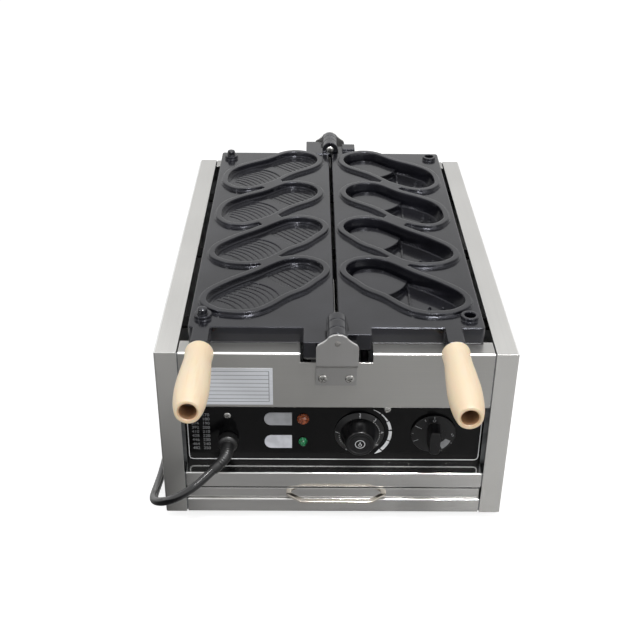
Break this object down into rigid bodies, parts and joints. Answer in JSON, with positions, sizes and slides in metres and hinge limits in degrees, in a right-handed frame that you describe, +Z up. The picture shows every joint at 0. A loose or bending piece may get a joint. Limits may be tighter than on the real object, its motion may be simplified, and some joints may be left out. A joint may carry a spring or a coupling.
{
  "type": "shaped waffle maker",
  "caption": "Countertop waffle maker: hinged mould plates with shoe-shaped cavities over a steel casing with controls and a crumb drawer.",
  "frame": {"origin": "centre of the object's footprint, cord left out, on the surface that its rubber feet stand on", "axes": "+Y from the handles at the front to the rear, along the longest extent; +X to the right as seen from the front; +Z up, the shortest extent"},
  "size_m": [0.3798, 0.7452, 0.2458],
  "materials": {
    "stainless_sheet": "brushed stainless sheet",
    "coated_casting": "cast, dark non-stick coating",
    "bright_steel": "turned steel",
    "heater_sheath": "heat-darkened tube",
    "galvanised_sheet": "dull inner sheet",
    "pale_wood": "smooth, unpainted",
    "black_rubber": "matt",
    "black_knob": "moulded",
    "black_facing": "glossy film",
    "orange_lens": "clear tinted",
    "green_lens": "clear tinted",
    "switch_body": "moulded",
    "terminal_ceramic": "moulded",
    "wire_sleeving": "soft sleeving",
    "label_metal": "thin plate",
    "plug_metal": "stamped blades"
  },
  "bodies": {
    "casing": {"left_side_panel": "stainless_sheet", "right_side_panel": "stainless_sheet", "front_apron": "stainless_sheet", "rear_panel": "stainless_sheet", "upper_front_rail": "stainless_sheet", "lower_front_rail": "stainless_sheet", "splice_plates": "galvanised_sheet", "base_plate": "galvanised_sheet", "rubber_feet": "black_rubber", "control_panel": "galvanised_sheet", "panel_facing": "black_facing", "panel_screws": "bright_steel", "heat_shield": "galvanised_sheet", "heater_supports": "galvanised_sheet", "left_heater": "heater_sheath", "right_heater": "heater_sheath", "front_bracket": "stainless_sheet", "rear_bracket": "stainless_sheet", "bracket_screws": "bright_steel", "front_hinge_pin": "bright_steel", "rear_hinge_pin": "bright_steel", "rating_plate": "label_metal", "work_lamp": "orange_lens", "power_lamp": "green_lens", "thermostat_body": "switch_body", "thermostat_bulb": "bright_steel", "timer_body": "switch_body", "terminal_block": "terminal_ceramic", "control_wires": "wire_sleeving", "drawer_runners": "galvanised_sheet", "strain_relief": "black_rubber", "power_cord": "black_rubber", "cord_coil": "black_rubber", "plug_body": "black_rubber", "plug_pins": "plug_metal"},
    "left_plate": {"left_mould_plate": "coated_casting", "locating_pins": "bright_steel", "left_handle_rod": "bright_steel", "left_handle_washer": "bright_steel", "left_handle_nut": "bright_steel", "left_wooden_handle": "pale_wood"},
    "right_plate": {"right_mould_plate": "coated_casting", "right_handle_rod": "bright_steel", "right_handle_washer": "bright_steel", "right_handle_nut": "bright_steel", "right_wooden_handle": "pale_wood"},
    "drawer": {"crumb_tray": "galvanised_sheet", "drawer_front": "stainless_sheet", "drawer_pull": "bright_steel", "pull_rivets": "bright_steel"},
    "temperature_control": {"temperature_knob": "black_knob", "temperature_shaft": "bright_steel"},
    "timer_control": {"timer_knob": "black_knob", "timer_shaft": "bright_steel"}
  },
  "joints": [
    {"name": "left_plate_hinge", "type": "hinge", "parent": "casing", "child": "left_plate", "pos_m": [0, 0, 0.23535], "axis": [0, 1, 0], "range_deg": [0, 180]},
    {"name": "right_plate_hinge", "type": "hinge", "parent": "casing", "child": "right_plate", "pos_m": [0, 0, 0.23535], "axis": [0, -1, 0], "range_deg": [0, 180]},
    {"name": "drawer_slide", "type": "slide", "parent": "casing", "child": "drawer", "axis": [0, -1, 0], "range_m": [0, 0.3]},
    {"name": "temperature_turn", "type": "hinge", "parent": "casing", "child": "temperature_control", "pos_m": [0.026, -0.19195, 0.104], "axis": [0, 1, 0], "range_deg": [0, 270]},
    {"name": "timer_turn", "type": "hinge", "parent": "casing", "child": "timer_control", "pos_m": [0.1035, -0.19195, 0.104], "axis": [0, 1, 0], "range_deg": [0, 300]}
  ]
}
